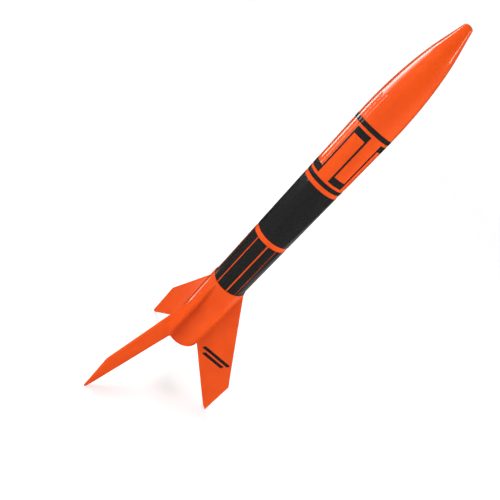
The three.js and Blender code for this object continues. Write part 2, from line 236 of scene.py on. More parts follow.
# ---------------------------------------------------------------- materials
class Nodes:
    """A material under construction: short names for the nodes that every material here uses."""

    def __init__(self, name):
        self.material = bpy.data.materials.new(name)
        self.material.use_nodes = True
        self.tree = self.material.node_tree
        self.shader = self.tree.nodes["Principled BSDF"]
        self.coords = self.tree.nodes.new("ShaderNodeTexCoord").outputs["Object"]

    def link(self, a, b):
        self.tree.links.new(a, b)

    def set(self, **values):
        for key, value in values.items():
            self.shader.inputs[key.replace("_", " ")].default_value = value

    def mapped(self, scale=(1, 1, 1), turn=(0, 0, 0)):
        m = self.tree.nodes.new("ShaderNodeMapping")
        m.inputs["Scale"].default_value = scale
        m.inputs["Rotation"].default_value = turn
        self.link(self.coords, m.inputs["Vector"])
        return m.outputs["Vector"]

    def noise(self, scale, detail=4, roughness=0.55, vector=None):
        n = self.tree.nodes.new("ShaderNodeTexNoise")
        n.inputs["Scale"].default_value = scale
        n.inputs["Detail"].default_value = detail
        n.inputs["Roughness"].default_value = roughness
        self.link(vector or self.coords, n.inputs["Vector"])
        return n.outputs["Fac"]

    def math(self, operation, a, b=None, c=None):
        n = self.tree.nodes.new("ShaderNodeMath")
        n.operation = operation
        for i, v in enumerate((a, b, c)):
            if v is None:
                continue
            if isinstance(v, (int, float)):
                n.inputs[i].default_value = v
            else:
                self.link(v, n.inputs[i])
        return n.outputs[0]

    def ramp(self, value, low, high, to_low=0.0, to_high=1.0):
        n = self.tree.nodes.new("ShaderNodeMapRange")
        for key, v in (("From Min", low), ("From Max", high), ("To Min", to_low), ("To Max", to_high)):
            n.inputs[key].default_value = v
        self.link(value, n.inputs["Value"])
        return n.outputs["Result"]

    def mix(self, factor, a, b):
        n = self.tree.nodes.new("ShaderNodeMix")
        n.data_type = "RGBA"
        self.link(factor, n.inputs["Factor"])
        for socket, v in ((n.inputs[6], a), (n.inputs[7], b)):
            if hasattr(v, "is_linked"):
                self.link(v, socket)
            else:
                socket.default_value = (*v, 1)
        return n.outputs[2]

    def colour(self, value):
        self.link(value, self.shader.inputs["Base Color"])

    def roughness(self, value):
        self.link(value, self.shader.inputs["Roughness"])

    def bump(self, height, strength, distance):
        n = self.tree.nodes.new("ShaderNodeBump")
        n.inputs["Strength"].default_value = strength
        n.inputs["Distance"].default_value = distance
        self.link(height, n.inputs["Height"])
        self.link(n.outputs["Normal"], self.shader.inputs["Normal"])

    def axis_angle(self):
        """(turns round the Z axis from -0.5 to 0.5, z in metres)"""
        n = self.tree.nodes.new("ShaderNodeSeparateXYZ")
        self.link(self.coords, n.inputs[0])
        turn = self.math("DIVIDE", self.math("ARCTAN2", n.outputs["Y"], n.outputs["X"]), 2 * math.pi)
        return turn, n.outputs["Z"]

    def spiral(self, pitch, width):
        """1 along a spiral seam with that pitch and a share of the pitch as its width, 0 elsewhere."""
        turn, z = self.axis_angle()
        phase = self.math("ADD", self.math("DIVIDE", z, pitch), turn)
        near = self.math("ABSOLUTE", self.math("SUBTRACT", self.math("FRACT", phase), 0.5))
        return self.ramp(near, 0.0, width, 1.0, 0.0)


ORANGE = (0.9, 0.098, 0.012)
ORANGE_DEEP = (0.84, 0.083, 0.01)
BLACK = (0.018, 0.0185, 0.0175)


def moulded_orange():
    m = Nodes("moulded_orange_plastic")
    cloud = m.noise(60, 3)
    m.colour(m.mix(m.ramp(cloud, 0.35, 0.7), ORANGE, ORANGE_DEEP))
    m.roughness(m.ramp(m.noise(70, 2), 0.3, 0.75, 0.22, 0.27))
    m.bump(m.noise(120, 1), 0.02, 0.0002)
    m.set(Coat_Weight=1.0, Coat_Roughness=0.03, Specular_IOR_Level=0.1)
    return m.material


def coated_paper():
    m = Nodes("orange_coated_paper")
    seam = m.spiral(0.052, 0.03)
    cloud = m.noise(90, 4)
    base = m.mix(m.ramp(cloud, 0.35, 0.7), ORANGE, ORANGE_DEEP)
    m.colour(m.mix(m.ramp(seam, 0, 1, 0, 0.3), base, ORANGE_DEEP))
    m.roughness(m.ramp(m.noise(80, 2), 0.3, 0.75, 0.2, 0.25))
    m.bump(m.noise(140, 1), 0.02, 0.0002)
    m.set(Coat_Weight=1.0, Coat_Roughness=0.03, Specular_IOR_Level=0.1)
    return m.material


def black_vinyl():
    m = Nodes("black_vinyl")
    grain = m.noise(2600, 3)
    lift = m.mix(m.ramp(grain, 0.35, 0.75), BLACK, (0.02, 0.0205, 0.021))
    scuffs = m.noise(500, 6, 0.7, m.mapped((1, 1, 0.15)))
    m.colour(m.mix(m.ramp(scuffs, 0.62, 0.8, 0, 0.3), lift, (0.035, 0.035, 0.037)))
    m.roughness(m.ramp(scuffs, 0.3, 0.75, 0.22, 0.34))
    m.bump(m.noise(160, 1), 0.015, 0.0002)
    m.set(Coat_Weight=1.0, Coat_Roughness=0.04, Specular_IOR_Level=0.2)
    return m.material


def paper(name, light, dark, fibre=900, rough=(0.7, 0.9), bump=0.3):
    m = Nodes(name)
    fibres = m.noise(fibre, 6, 0.65, m.mapped((1, 1, 3)))
    m.colour(m.mix(m.ramp(fibres, 0.3, 0.75), light, dark))
    m.roughness(m.ramp(m.noise(fibre * 0.4, 3), 0.3, 0.7, *rough))
    m.bump(m.noise(fibre * 2, 5), bump, 0.0002)
    return m.material


def wound_paper(name, light, dark):
    """Paper wound in layers: rings show on its cut ends, and a spiral seam on its side."""
    m = Nodes(name)
    n = m.tree.nodes.new("ShaderNodeSeparateXYZ")
    m.link(m.coords, n.inputs[0])
    square = m.math("ADD", m.math("POWER", n.outputs["X"], 2), m.math("POWER", n.outputs["Y"], 2))
    layers = m.math("SINE", m.math("MULTIPLY", m.math("SQRT", square), 2 * math.pi / 0.00022))
    fibres = m.noise(1000, 6, 0.65, m.mapped((1, 1, 3)))
    shade = m.math("ADD", m.ramp(layers, -1, 1, 0, 0.35), m.ramp(fibres, 0.3, 0.75, 0, 0.7))
    m.colour(m.mix(shade, light, dark))
    m.roughness(m.ramp(fibres, 0.3, 0.7, 0.6, 0.85))
    seam = m.spiral(0.03, 0.015)
    m.bump(m.math("SUBTRACT", m.ramp(fibres, 0, 1, 0, 0.5), seam), 0.3, 0.0002)
    return m.material


def pressed(name, light, dark, scale=1500, bump=0.5):
    m = Nodes(name)
    grain = m.noise(scale, 6, 0.7)
    m.colour(m.mix(m.ramp(grain, 0.3, 0.7), light, dark))
    m.roughness(m.ramp(grain, 0.3, 0.7, 0.75, 0.95))
    m.bump(grain, bump, 0.0004)
    return m.material


def spring_steel():
    m = Nodes("spring_steel")
    lines = m.noise(1800, 4, 0.6, m.mapped((1, 1, 0.03)))
    m.colour(m.mix(m.ramp(lines, 0.3, 0.7), (0.55, 0.56, 0.58), (0.36, 0.37, 0.39)))
    m.roughness(m.ramp(lines, 0.3, 0.7, 0.22, 0.4))
    m.bump(lines, 0.1, 0.0001)
    m.set(Metallic=0.6)
    return m.material


def woven_elastic():
    m = Nodes("woven_elastic")
    wave = m.tree.nodes.new("ShaderNodeTexWave")
    wave.inputs["Scale"].default_value = 700
    wave.inputs["Distortion"].default_value = 1.5
    m.link(m.mapped((1, 1, 0.2)), wave.inputs["Vector"])
    cross = m.tree.nodes.new("ShaderNodeTexWave")
    cross.bands_direction = "Y"
    cross.inputs["Scale"].default_value = 900
    m.link(m.coords, cross.inputs["Vector"])
    weave = m.math("MULTIPLY", wave.outputs["Fac"], cross.outputs["Fac"])
    m.colour(m.mix(m.ramp(weave, 0, 1), (0.62, 0.6, 0.54), (0.86, 0.84, 0.78)))
    m.roughness(m.ramp(weave, 0, 1, 0.75, 0.9))
    m.bump(weave, 0.5, 0.0003)
    m.set(Sheen_Weight=0.2)
    return m.material


def film():
    m = Nodes("canopy_film")
    creases = m.noise(260, 5, 0.6)
    m.colour(m.mix(m.ramp(creases, 0.35, 0.7), (0.9, 0.13, 0.02), (0.8, 0.2, 0.05)))
    m.roughness(m.ramp(creases, 0.3, 0.7, 0.25, 0.42))
    m.bump(creases, 0.35, 0.0005)
    m.set(Subsurface_Weight=0.15, Subsurface_Radius=(0.002, 0.0006, 0.0003))
    return m.material


def thread():
    m = Nodes("twisted_thread")
    twist = m.noise(3200, 3, 0.6, m.mapped((1, 1, 0.4)))
    m.colour(m.mix(m.ramp(twist, 0.3, 0.7), (0.9, 0.89, 0.85), (0.68, 0.66, 0.6)))
    m.roughness(m.ramp(twist, 0.3, 0.7, 0.7, 0.9))
    m.bump(twist, 0.5, 0.0002)
    return m.material


def dried_glue():
    m = Nodes("dried_glue")
    m.colour(m.mix(m.noise(300, 3), (0.78, 0.76, 0.7), (0.66, 0.62, 0.55)))
    m.roughness(m.ramp(m.noise(600, 2), 0.3, 0.7, 0.25, 0.4))
    m.set(Subsurface_Weight=0.2, Subsurface_Radius=(0.001, 0.001, 0.0008))
    return m.material


MOULDED = moulded_orange()
GLUE = dried_glue()
COATED = coated_paper()
VINYL = black_vinyl()
KRAFT = paper("kraft_paper", (0.5, 0.33, 0.17), (0.36, 0.21, 0.1))
CARD = paper("white_card", (0.8, 0.78, 0.71), (0.66, 0.62, 0.54), rough=(0.8, 0.95))
GREEN_CARD = paper("green_card", (0.07, 0.2, 0.09), (0.05, 0.14, 0.065))
WADDING = paper("wadding_tissue", (0.72, 0.68, 0.58), (0.6, 0.55, 0.45), 500, (0.85, 0.97), 0.5)
CASE = wound_paper("engine_paper", (0.42, 0.24, 0.11), (0.27, 0.14, 0.06))
MOUNT_PAPER = wound_paper("mount_tube_paper", (0.5, 0.33, 0.18), (0.38, 0.23, 0.11))
CLAY = pressed("pressed_clay", (0.6, 0.57, 0.5), (0.46, 0.43, 0.36))
POWDER = pressed("black_powder", (0.02, 0.02, 0.02), (0.008, 0.008, 0.008), 2200)
DELAY = pressed("delay_mix", (0.11, 0.105, 0.095), (0.07, 0.066, 0.06), 2000)
STEEL = spring_steel()
ELASTIC = woven_elastic()
FILM = film()
THREAD = thread()


# ---------------------------------------------------------------- nose
NOSE_HEIGHT = NOSE_TIP - NOSE_BASE
NOSE_CURVE_HEIGHT = 66.2
NOSE_CURVE_POWER = 0.7
NOSE_TAPER_START = 53.5  # above this height the side runs straight
NOSE_TIP_START = 64.2
NOSE_WALL = 1.1
PARTING_ANGLES = (25.0, 205.0)
SHOULDER_R = TUBE_IN - 0.15
SHOULDER_IN = SHOULDER_R - NOSE_WALL


def nose_curve(height):
    return TUBE_R * (1 - (height / NOSE_CURVE_HEIGHT) ** 2) ** NOSE_CURVE_POWER


def nose_radius(height):
    taper = max(height - NOSE_TAPER_START, 0)
    slope = nose_curve(NOSE_TAPER_START - 0.5) - nose_curve(NOSE_TAPER_START + 0.5)
    return nose_curve(min(height, NOSE_TAPER_START)) - slope * taper


def nose_outline():
    """The outside from the base to the tip: the ogive and a round tip."""
    steps = 60
    out = [(nose_radius(h), NOSE_BASE + h) for h in
           (NOSE_TIP_START * math.sin(i / steps * math.pi / 2) for i in range(steps + 1))]
    tip_r, tip_h = nose_radius(NOSE_TIP_START), NOSE_HEIGHT - NOSE_TIP_START
    for i in range(1, 10):
        t = i / 10 * math.pi / 2
        out.append((tip_r * math.cos(t), NOSE_BASE + NOSE_TIP_START + tip_h * math.sin(t)))
    return out + [(0, NOSE_TIP)]


def parting_ridge(r, z, angle):
    """The fine line that the mould's two halves leave on the nose."""
    if z < NOSE_BASE + 0.5 or r < 1:
        return r
    off = min(apart(angle, a) for a in PARTING_ANGLES)
    across = math.radians(off) * r
    return r + 0.035 * math.exp(-((across / 0.12) ** 2))


def make_nose():
    outside = nose_outline()
    hollow_top = 56
    inside = [(0, NOSE_BASE + hollow_top)]
    for i in range(15, -1, -1):
        h = hollow_top * i / 16
        inside.append((min(nose_radius(h) - NOSE_WALL * 1.3, SHOULDER_IN), NOSE_BASE + h))
    shoulder = rounded([
        (SHOULDER_IN, NOSE_LOW + 2),
        (SHOULDER_IN, NOSE_LOW),
        (SHOULDER_R - 0.45, NOSE_LOW),
        (SHOULDER_R, NOSE_LOW + 1),
        (SHOULDER_R, NOSE_BASE),
        (TUBE_R, NOSE_BASE),
        (TUBE_R - 0.01, NOSE_BASE + 2),
    ], [0, 0.2, 0.2, 0.5, 0.12, 0.22, 0], closed=False)
    outline = inside + shoulder[:-1] + [p for p in outside if p[1] > NOSE_BASE + 0.6]
    near = [a + d for a in PARTING_ANGLES for d in (-1.6, -1.1, -0.7, -0.35, 0, 0.35, 0.7, 1.1, 1.6)]
    nose = lathe("nose_shell", outline, [MOULDED], even_angles(extra=near), parting_ridge)
    return place(nose, NOSE, "orange_plastic", "nose_cone")


def torus(name, centre, major, minor, materials, turns=(48, 16)):
    """A ring that stands upright across the X axis."""
    verts, faces = [], []
    for i in range(turns[0]):
        a = 2 * math.pi * i / turns[0]
        for k in range(turns[1]):
            b = 2 * math.pi * k / turns[1]
            r = major + minor * math.cos(b)
            verts.append((centre[0] + minor * math.sin(b), centre[1] + r * math.cos(a),
                          centre[2] + r * math.sin(a)))
            i2, k2 = (i + 1) % turns[0], (k + 1) % turns[1]
            faces.append([i * turns[1] + k, i2 * turns[1] + k, i2 * turns[1] + k2, i * turns[1] + k2])
    return new_object(name, verts, faces, materials)


FLANGE_Z = NOSE_LOW - 1.3
EYELET_Z = FLANGE_Z - 2.6
EYELET_R = 3


def make_plug():
    _, _, _, high = span("nose_base_plug")
    outline = rounded([
        (0.0, FLANGE_Z),
        (4.4, FLANGE_Z),
        (5.0, FLANGE_Z + 0.45),
        (8.6, FLANGE_Z + 0.45),
        (9.2, FLANGE_Z),
        (SHOULDER_R, FLANGE_Z),
        (SHOULDER_R, NOSE_LOW - 0.05),
        (SHOULDER_IN - 0.05, NOSE_LOW - 0.05),
        (SHOULDER_IN - 0.05, high),
        (0.0, high),
    ], [0, 0.2, 0.2, 0.2, 0.2, 0.35, 0.1, 0, 0.3, 0], closed=False)
    disc = lathe("plug_disc", outline, [MOULDED], closed=False)
    eyelet = torus("plug_eyelet", (0, 0, EYELET_Z), EYELET_R, 0.8, [MOULDED])
    return place(joined("nose_plug", [disc, eyelet]), NOSE, "orange_plastic", "nose_base_plug")


# ---------------------------------------------------------------- body tube and decals
def make_tube():
    outline = ring_outline(TUBE_IN, TUBE_R, TUBE_LOW, TUBE_TOP, 0.07)
    middle = (TUBE_IN + TUBE_R) / 2
    tube = lathe("tube", outline, [COATED, KRAFT], pick=lambda r, z: 0 if r > middle + 0.1 else 1)
    return place(tube, AIRFRAME, "orange_tube", "body_tube")


def shell(name, az_breaks, z_breaks, filled, inner, outer, materials):
    """A thin shell on a cylinder, filled where filled(angle, z) says, between breaks in degrees and mm."""
    cells = {}
    for i in range(len(az_breaks)):
        a0, a1 = az_breaks[i], az_breaks[(i + 1) % len(az_breaks)]
        mid = (a0 + (a1 - a0) % 360 / 2) % 360
        for j in range(len(z_breaks) - 1):
            cells[i, j] = filled(mid, (z_breaks[j] + z_breaks[j + 1]) / 2)
    verts, faces, known = [], [], {}

    def vertex(i, j, outside):
        key = (i % len(az_breaks), j, outside)
        if key not in known:
            known[key] = len(verts)
            t, r = math.radians(az_breaks[key[0]]), outer if outside else inner
            verts.append((r * math.cos(t), r * math.sin(t), z_breaks[j]))
        return known[key]

    for (i, j), full in cells.items():
        if not full:
            continue
        for outside in (True, False):
            loop = [(i, j), (i + 1, j), (i + 1, j + 1), (i, j + 1)]
            loop = loop if outside else loop[::-1]
            faces.append([vertex(a, b, outside) for a, b in loop])
        sides = (((i - 1) % len(az_breaks), j, (i, j + 1), (i, j)),
                 ((i + 1) % len(az_breaks), j, (i + 1, j), (i + 1, j + 1)),
                 (i, j - 1, (i, j), (i + 1, j)),
                 (i, j + 1, (i + 1, j + 1), (i, j + 1)))
        for ni, nj, p, q in sides:
            if not cells.get((ni, nj), False):
                faces.append([vertex(*p, True), vertex(*p, False), vertex(*q, False), vertex(*q, True)])
    return new_object(name, verts, faces, materials)


def breaks_round(edges, step=3.0):
    return sorted({round(a % 360, 4) for a in edges} | {round(step * i, 4) for i in range(int(360 / step))})


def breaks_up(low, high, extra=(), step=4.0):
    count = max(1, round((high - low) / step))
    return sorted({round(low + (high - low) * i / count, 4) for i in range(count + 1)} | set(extra))


def within(angle, start, end):
    return (angle - start) % 360 < (end - start) % 360


def make_ring_decal(node):
    inner, outer, low, high = span(node)
    band = lathe(node + "_film", ring_outline(inner, outer, low, high, 0.03), [VINYL])
    return place(band, AIRFRAME, "black_decal", node)


KEY_LINES = 8
KEY_PITCH = 42.2
KEY_FIRST = -97.1
KEY_HALF = 2.5
KEY_BARS = (4.3, 4.0)  # the heights of the lower and the upper bars


def make_key_pattern():
    inner, outer, low, high = span("decal_key_pattern")
    lines = [KEY_FIRST + i * KEY_PITCH for i in range(KEY_LINES)]
    bars = []
    for i, here in enumerate(lines):
        end = lines[i + 1] if i + 1 < KEY_LINES else KEY_FIRST + 360
        bars.append((here - KEY_HALF, end + KEY_HALF, i % 2 == 0))

    def filled(angle, z):
        if any(within(angle, a - KEY_HALF, a + KEY_HALF) for a in lines):
            return True
        on_top, on_bottom = z > high - KEY_BARS[1], z < low + KEY_BARS[0]
        return any(within(angle, a, b) and (on_top if top else on_bottom) for a, b, top in bars)

    edges = [a + d for a in lines for d in (-KEY_HALF, KEY_HALF)]
    levels = breaks_up(low, high, (low + KEY_BARS[0], high - KEY_BARS[1]))
    pattern = shell("key_pattern_film", breaks_round(edges), levels, filled, inner, outer, [VINYL])
    return place(pattern, AIRFRAME, "black_decal", "decal_key_pattern")


PANEL_GAPS = (  # (centre, width) in degrees of the gaps between the black panels
    (-133.7, 4), (-93.5, 3.6), (-53.3, 4.7), (-21.8, 2.4), (25.3, 4),
    (65.5, 4), (105.7, 4), (145.9, 4), (186.1, 4),
)


def make_panels():
    inner, outer, low, high = span("decal_panels")
    root = SLEEVE_TOP + 0.1 - 0.3

    def filled(angle, z):
        return z < root or not any(within(angle, c - w / 2, c + w / 2) for c, w in PANEL_GAPS)

    edges = [c + s * w / 2 for c, w in PANEL_GAPS for s in (-1, 1)]
    panels = shell("panel_film", breaks_round(edges), breaks_up(low, high, (root,)), filled,
                   inner, outer, [VINYL])
    return place(panels, AIRFRAME, "black_decal", "decal_panels")


# ---------------------------------------------------------------- fin unit
SLEEVE_R = 13.2
SLEEVE_LOW = 46.8
SLEEVE_IN = DECAL_OUT + 0.08
LEDGE_R = 11.2
LEDGE_TOP = SLEEVE_LOW + 2.2
NOTCH_HALF = 12.3  # degrees either side of the engine hook
HOOK_ANGLE = 90

FIN_ANGLES = (-90, 30, 150)
FIN_HALF = 0.75
FIN_EDGE = 0.42  # radius of the fin's edges
FIN_FILLET = 1.3
FIN_TIP_R = 55.4
FIN_TIP_TOP_R = 55.1
FIN_TIP_TOP = 32.9
FIN_FOOT = 1.8
FIN_ROOT_TOP = 105.6


def ledge_notch(r, z, angle):
    """The ledge steps back where the hook passes it."""
    if r > SLEEVE_IN - 0.3 or z > LEDGE_TOP + 0.1:
        return r
    return SLEEVE_IN - 0.02 if apart(angle, HOOK_ANGLE) < NOTCH_HALF else r


def make_sleeve():
    outline = rounded([
        (LEDGE_R, SLEEVE_LOW),
        (SLEEVE_R, SLEEVE_LOW),
        (SLEEVE_R, SLEEVE_TOP),
        (SLEEVE_IN, SLEEVE_TOP),
        (SLEEVE_IN, LEDGE_TOP),
        (LEDGE_R, LEDGE_TOP),
    ], [0.2, 0.35, 0.38, 0.1, 0.1, 0.2], 5)
    step = [HOOK_ANGLE + s * (NOTCH_HALF + d) for s in (-1, 1) for d in (-0.05, 0.05)]
    return lathe("sleeve", outline, [MOULDED], even_angles(extra=step), ledge_notch)


def fin_stations():
    """(distance from the axis, half thickness) from inside the sleeve's wall, by the root fillet, to the
    tip."""
    cy = FIN_HALF + FIN_FILLET
    cx = math.sqrt((SLEEVE_R + FIN_FILLET) ** 2 - cy ** 2)
    start = math.atan2(-cy, -cx)
    stations = [(SLEEVE_R - 0.45, cy)]
    for i in range(8):
        t = start + (-math.pi / 2 - start) * i / 7
        stations.append((cx + FIN_FILLET * math.cos(t), cy + FIN_FILLET * math.sin(t)))
    flat = FIN_TIP_R - FIN_EDGE
    stations += [(cx + (flat - cx) * i / 12, FIN_HALF) for i in range(1, 13)]
    for i in range(1, 6):
        t = i / 5 * math.pi / 2
        stations.append((flat + FIN_EDGE * math.sin(t), FIN_HALF - FIN_EDGE * (1 - math.cos(t))))
    return stations


def edge_steps(length):
    """(share of the chord, drop in half thickness): round edges at both ends and a flat middle."""
    near = [(FIN_EDGE * (1 - math.cos(t)), FIN_EDGE * (1 - math.sin(t)))
            for t in (i / 5 * math.pi / 2 for i in range(6))]
    middle = [((FIN_EDGE + (length - 2 * FIN_EDGE) * i / 12), 0.0) for i in range(1, 12)]
    far = [(length - d, drop) for d, drop in reversed(near)]
    return [(d / length, drop) for d, drop in near + middle + far]


def fin_trailing(x):
    slope = SLEEVE_LOW / (FIN_TIP_R - FIN_FOOT - SLEEVE_R)
    return max(0.0, SLEEVE_LOW - (x - SLEEVE_R) * slope)


def fin_leading(x):
    return FIN_ROOT_TOP - (x - SLEEVE_R) * (FIN_ROOT_TOP - FIN_TIP_TOP) / (FIN_TIP_TOP_R - SLEEVE_R)


def make_fin(angle):
    stations = fin_stations()
    t = math.radians(angle)
    verts = []
    rows = len(edge_steps(40))
    for side in (1, -1):
        for x, half in stations:
            low, high = fin_trailing(x), fin_leading(x)
            for share, drop in edge_steps(high - low):
                z = low + share * (high - low)
                lean = (FIN_TIP_R - FIN_TIP_TOP_R) * z / FIN_TIP_TOP
                lean = lean * (x - SLEEVE_R) / (FIN_TIP_R - SLEEVE_R)
                along = x - max(0.0, lean)
                y = side * max(half - drop, 0.05)
                verts.append(turned(along, y, z, t))
    other = len(stations) * rows
    faces = sheet_faces(len(stations), rows)
    for i in range(len(stations) - 1):
        for j in (0, rows - 1):
            a = i * rows + j
            faces.append([a, a + rows, a + rows + other, a + other])
    for j in range(rows - 1):
        for i in (0, len(stations) - 1):
            a = i * rows + j
            faces.append([a, a + 1, a + 1 + other, a + other])
    return new_object(f"fin_{angle}", verts, faces, [MOULDED])


def make_fin_unit():
    unit = joined("fin_moulding", [make_sleeve()] + [make_fin(a) for a in FIN_ANGLES])
    return place(unit, AIRFRAME, "orange_plastic", "fin_unit")


def make_fin_bar(node):
    """A flat bar with slanted ends and rounded corners on the right-hand fin."""
    co = np.array([v.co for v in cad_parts[node].data.vertices], float) / MM
    t = math.radians(FIN_ANGLES[1])
    along = co[:, 0] * math.cos(t) + co[:, 1] * math.sin(t)
    off = -co[:, 0] * math.sin(t) + co[:, 1] * math.cos(t)
    low, high = co[:, 2].min(), co[:, 2].max()
    bottom, top = along[co[:, 2] < low + 0.1], along[co[:, 2] > high - 0.1]
    outline = rounded([(bottom.min(), low), (bottom.max(), low), (top.max(), high), (top.min(), high)], 0.35)
    verts, n = [], len(outline)
    for y in (off.min(), off.max()):
        verts += [turned(a, y, z, t) for a, z in outline]
    faces = [list(range(n)), list(range(2 * n - 1, n - 1, -1))]
    faces += [[i, (i + 1) % n, n + (i + 1) % n, n + i] for i in range(n)]
    bar = new_object(node + "_film", verts, faces, [VINYL])
    return place(bar, AIRFRAME, "black_decal", node)


make_nose()
make_plug()
make_tube()
for ring_node in ("decal_top_ring", "decal_thin_ring", "decal_wide_band"):
    make_ring_decal(ring_node)
make_key_pattern()
make_panels()
make_fin_unit()
for bar_node in ("decal_fin_upper", "decal_fin_lower"):
    make_fin_bar(bar_node)


# ---------------------------------------------------------------- more mesh helpers
def strip(name, path, width, thickness, angle, corner, materials):
    """A flat strip along a path of (radius, z) points in the upright plane at that angle."""
    section = rounded([(-thickness / 2, -width / 2), (thickness / 2, -width / 2),
                       (thickness / 2, width / 2), (-thickness / 2, width / 2)], corner, 3)
    t = math.radians(angle)
    verts = []
    for i, point in enumerate(path):
        here = Vector(point)
        before, after = Vector(path[max(i - 1, 0)]), Vector(path[min(i + 1, len(path) - 1)])
        back, ahead = (here - before), (after - here)
        along = (back.normalized() + ahead.normalized()).normalized()
        normal = Vector((-along.y, along.x))
        for off, across in section:
            p = here + normal * off
            verts.append(turned(p.x, across, p.y, t))
    return new_object(name, verts, tube_faces(len(path), len(section)), materials)


def thread_tube(name, points, radius, sides, materials, closed=False):
    """A round thread along a list of points."""
    pts = [Vector(p) for p in points]
    verts = []
    normal = None
    for i, p in enumerate(pts):
        before = pts[i - 1] if closed or i else p
        after = pts[(i + 1) % len(pts)] if closed or i < len(pts) - 1 else p
        along = (after - before).normalized()
        if normal is None:
            normal = along.orthogonal()
        normal = (normal - along * normal.dot(along)).normalized()
        other = along.cross(normal)
        for k in range(sides):
            t = 2 * math.pi * k / sides
            verts.append(tuple(p + (normal * math.cos(t) + other * math.sin(t)) * radius))
    return new_object(name, verts, tube_faces(len(pts), sides, closed), materials)


def thin_sheet(name, points, thickness, materials):
    """A sheet of that thickness whose middle follows a grid of points, a list of equal rows."""
    grid = np.array(points, float)
    rows, cols = grid.shape[:2]
    normal = np.cross(np.gradient(grid, axis=0), np.gradient(grid, axis=1))
    normal /= np.maximum(np.linalg.norm(normal, axis=2, keepdims=True), 1e-9)
    sides = [grid + normal * thickness / 2, grid - normal * thickness / 2]
    verts = [tuple(v) for side in sides for row in side for v in row]
    other = rows * cols
    faces = sheet_faces(rows, cols)
    rim = [(i * cols, (i + 1) * cols) for i in range(rows - 1)]
    rim += [(i * cols + cols - 1, (i + 1) * cols + cols - 1) for i in range(rows - 1)]
    rim += [(j, j + 1) for j in range(cols - 1)]
    rim += [((rows - 1) * cols + j, (rows - 1) * cols + j + 1) for j in range(cols - 1)]
    faces += [[a, b, b + other, a + other] for a, b in rim]
    return new_object(name, verts, faces, materials)


# ---------------------------------------------------------------- launch lug
LUG_R, LUG_BORE = 2.3, 1.95
LUG_AZIMUTH = 105
LUG_EDGE = 0.09


def glue_fillet(side, centre_r, low, high):
    """A bead of dried glue in the groove between the lug and the tube."""
    outline = []
    for turn in (190, 200, 210, 220, 228):
        t = math.radians(turn)
        outline.append((centre_r + LUG_R * math.cos(t) + 0.02, -side * LUG_R * math.sin(t)))
    for turn in (7.2, 5, 3, 1.4):
        t = math.radians(turn)
        outline.append((DECAL_OUT * math.cos(t) - 0.02, side * DECAL_OUT * math.sin(t)))
    hollow = ((outline[4][0] + outline[5][0]) / 2 - 0.12, (outline[4][1] + outline[5][1]) / 2 - side * 0.14)
    outline.insert(5, hollow)
    verts = []
    steps = 24
    t = math.radians(LUG_AZIMUTH)
    for i in range(steps + 1):
        z = low + (high - low) * i / steps
        for x, y in outline:
            wave = 0.05 * noise.noise(Vector((x, y * 3, z * 0.35)))
            verts.append(turned(x, y + side * wave, z, t))
    return new_object("glue_bead", verts, tube_faces(steps + 1, len(outline)), [GLUE])


def make_launch_lug():
    _, _, low, high = span("launch_lug")
    centre_r = DECAL_OUT + LUG_R + 0.05
    t = math.radians(LUG_AZIMUTH)
    outline = ring_outline(LUG_BORE, LUG_R, low, high, LUG_EDGE)
    lug = lathe("lug", outline, [COATED, KRAFT], even_angles(48),
                pick=lambda r, z: 0 if r > LUG_R - 0.1 else 1,
                centre=(centre_r * math.cos(t), centre_r * math.sin(t)))
    beads = [glue_fillet(s, centre_r, low + 0.8, high - 0.8) for s in (1, -1)]
    for bead in beads:
        place(bead, AIRFRAME, "orange_tube")
    beads[0].name, beads[1].name = "lug_glue_bead_1", "lug_glue_bead_2"
    place(lug, AIRFRAME, "orange_tube", "launch_lug")


# ---------------------------------------------------------------- engine mount
HOOK_HALF = 1.6
HOOK_THICK = 0.5


def make_engine_tube():
    _, outer, low, high = span("engine_tube")
    inner = outer - 0.35
    slot_low, slot_high = CASE_TOP + 0.1, CASE_TOP + 1.5
    half = math.degrees(math.asin((HOOK_HALF + 0.4) / outer))

    def filled(angle, z):
        return not (apart(angle, HOOK_ANGLE) < half and slot_low < z < slot_high)

    edges = breaks_round((HOOK_ANGLE - half, HOOK_ANGLE + half), 3.75)
    tube = shell("engine_mount_tube", edges, breaks_up(low, high, (slot_low, slot_high), 6), filled,
                 inner, outer, [MOUNT_PAPER])
    place(tube, AIRFRAME, "kraft_paper", "engine_tube")


def make_centering_rings():
    outer = TUBE_IN - 0.05
    inner = 9.4
    _, _, low, high = span("centering_ring_front")
    front = lathe("centering_ring_front_card", ring_outline(inner, outer, low, high, 0.15), [CARD])
    place(front, AIRFRAME, "white_paper", "centering_ring_front")
    _, _, low, high = span("centering_ring_rear")
    half = 12.0
    rear = shell("centering_ring_rear_card", breaks_round((HOOK_ANGLE - half, HOOK_ANGLE + half)),
                 breaks_up(low, high, (low + 0.1, high - 0.1), 2),
                 lambda angle, z: apart(angle, HOOK_ANGLE) > half, inner, outer, [CARD])
    place(rear, AIRFRAME, "white_paper", "centering_ring_rear")


def make_retainer_band():
    """A paper band round the engine tube with a bulge where the hook passes under it."""
    _, _, low, high = span("hook_retainer_band")
    inner, outer = 9.4, 9.7

    def bulge(r, z, angle):
        off = apart(angle, HOOK_ANGLE)
        if off > 90:
            return r
        flat = (10.5 if r < (inner + outer) / 2 else 10.85) / math.cos(math.radians(off))
        edge = 12.0 if r < (inner + outer) / 2 else 13.6
        rise = min(1.0, max(0.0, (edge + 3 - off) / 3))
        rise = rise * rise * (3 - 2 * rise)
        return r + (flat - r) * rise

    angles = even_angles(96, [HOOK_ANGLE + d * 0.75 for d in range(-24, 25)])
    band = lathe("retainer_band", ring_outline(inner, outer, low, high, 0.06), [KRAFT], angles, bulge)
    place(band, AIRFRAME, "kraft_paper", "hook_retainer_band")


